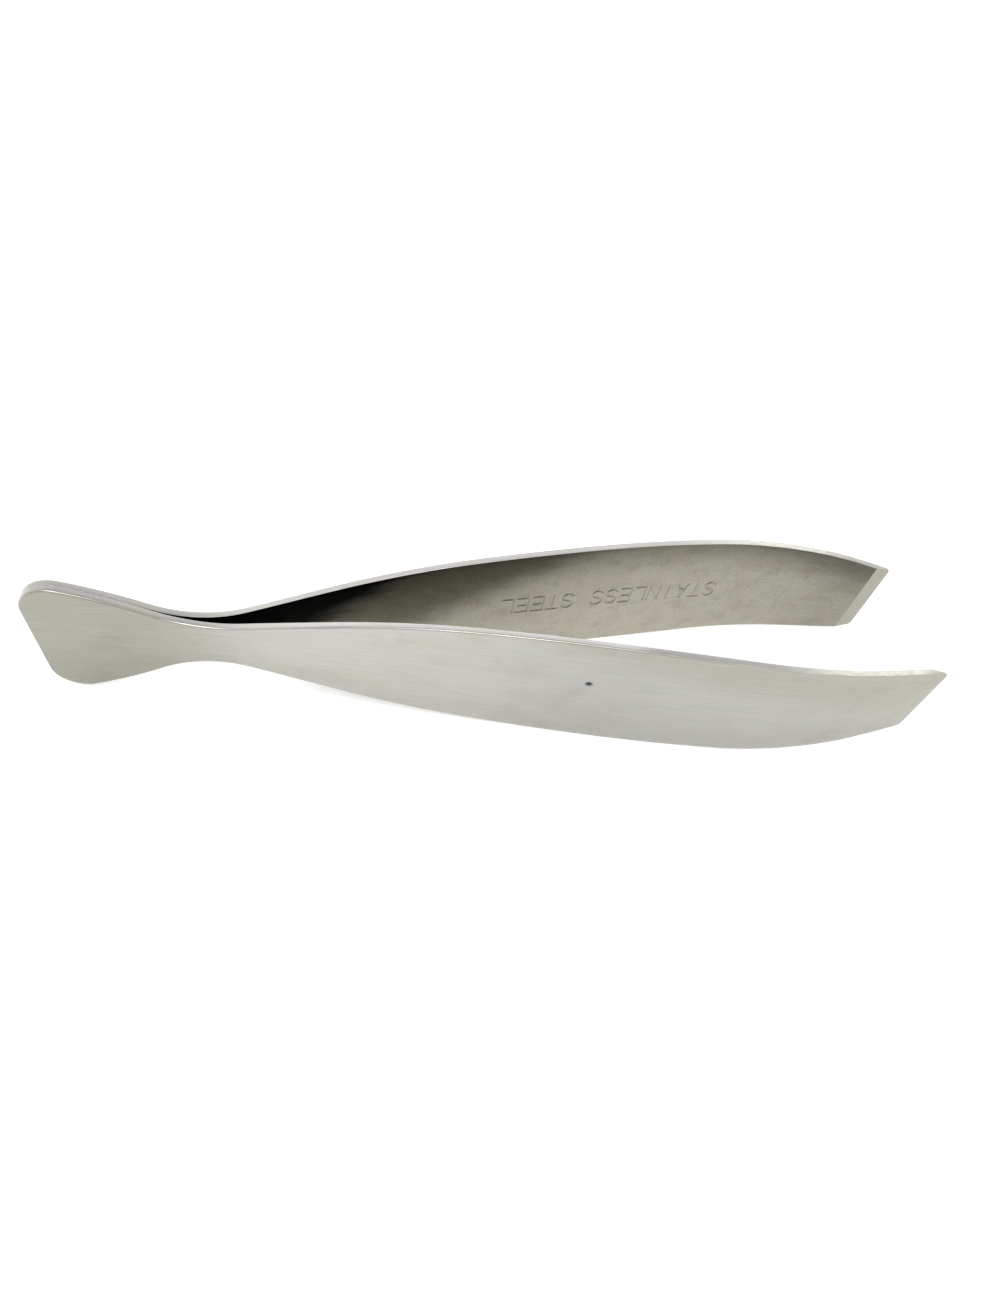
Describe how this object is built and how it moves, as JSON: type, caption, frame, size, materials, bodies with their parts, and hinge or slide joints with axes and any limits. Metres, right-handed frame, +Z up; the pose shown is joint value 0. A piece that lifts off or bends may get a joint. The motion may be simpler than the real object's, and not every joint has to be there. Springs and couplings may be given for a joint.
{
  "type": "stamp tongs",
  "caption": "Wide square-tipped sprung tongs of brushed stainless sheet, welded at a fishtail end, for picking up and turning stamps.",
  "frame": {"origin": "under the middle of the length, midway between the arms, at the height of the lowest edge", "axes": "+X from the tail to the tips, +Y towards the rear arm, +Z up along the width of the blades"},
  "size_m": [0.12, 0.0246, 0.02],
  "materials": {
    "leaf_steel": "satin stainless with fine lengthwise brushing",
    "weld_steel": "ground flush and satin finished"
  },
  "bodies": {
    "tail": {"front_tail_plate": "leaf_steel", "rear_tail_plate": "leaf_steel", "tail_end_weld": "weld_steel"},
    "front_arm": {"front_arm": "leaf_steel"},
    "rear_arm": {"rear_arm": "leaf_steel"}
  },
  "joints": [
    {"name": "front_arm_flex", "type": "hinge", "parent": "tail", "child": "front_arm", "pos_m": [-0.03802, -0.00098, 0.01001], "axis": [0, 0, 1], "range_deg": [0, 5.66], "stiffness_Nm_per_rad": 5.6},
    {"name": "rear_arm_flex", "type": "hinge", "parent": "tail", "child": "rear_arm", "pos_m": [-0.03802, 0.00098, 0.01001], "axis": [0, 0, -1], "range_deg": [0, 5.66], "stiffness_Nm_per_rad": 5.6}
  ]
}
